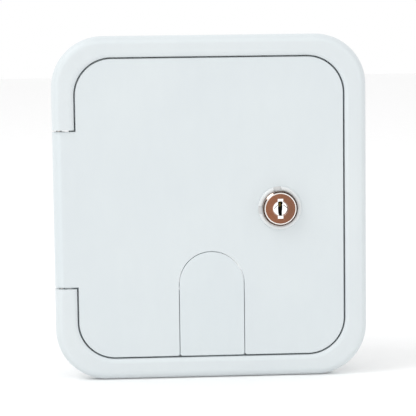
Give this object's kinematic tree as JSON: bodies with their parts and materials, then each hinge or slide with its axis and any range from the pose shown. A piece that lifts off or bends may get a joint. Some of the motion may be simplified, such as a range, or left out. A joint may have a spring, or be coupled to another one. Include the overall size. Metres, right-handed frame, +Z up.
{
  "type": "power cord hatch",
  "caption": "Flush wall hatch for a mains lead: rounded surround with a collar, side-hung door with key lock, and an arched lead flap at the door's foot.",
  "frame": {"origin": "middle of the surround's back face, in the plane where the flange lies on the wall", "axes": "+Y into the wall, along the collar; +Z up; +X to the right as seen from outside, towards the lock"},
  "size_m": [0.166, 0.0443, 0.182],
  "materials": {
    "white_plastic": "fine satin moulding",
    "white_gloss": "gloss",
    "steel": "bright drawn or pressed",
    "zinc": "satin zinc plating",
    "chrome": "polished"
  },
  "bodies": {
    "surround": {"frame": "white_plastic", "hinge_pin": "steel"},
    "hatch_door": {"door": "white_plastic", "lock_ring": "white_gloss", "lock_body": "zinc", "lock_nut": "zinc"},
    "lead_flap": {"cord_flap": "white_plastic"},
    "lock_core": {"lock_cap": "chrome", "lock_plug": "chrome", "lock_cam": "steel", "cam_screw": "zinc"}
  },
  "joints": [
    {"name": "door_hinge", "type": "hinge", "parent": "surround", "child": "hatch_door", "pos_m": [-0.0793, -0.0042, 0], "axis": [0, 0, -1], "range_deg": [0, 150]},
    {"name": "flap_swing", "type": "hinge", "parent": "hatch_door", "child": "lead_flap", "pos_m": [0, -0.0056, -0.041], "axis": [-1, 0, 0], "range_deg": [0, 85]},
    {"name": "lock_turn", "type": "hinge", "parent": "hatch_door", "child": "lock_core", "pos_m": [0.0366, 0, -0.0008], "axis": [0, 1, 0], "range_deg": [0, 90]}
  ]
}
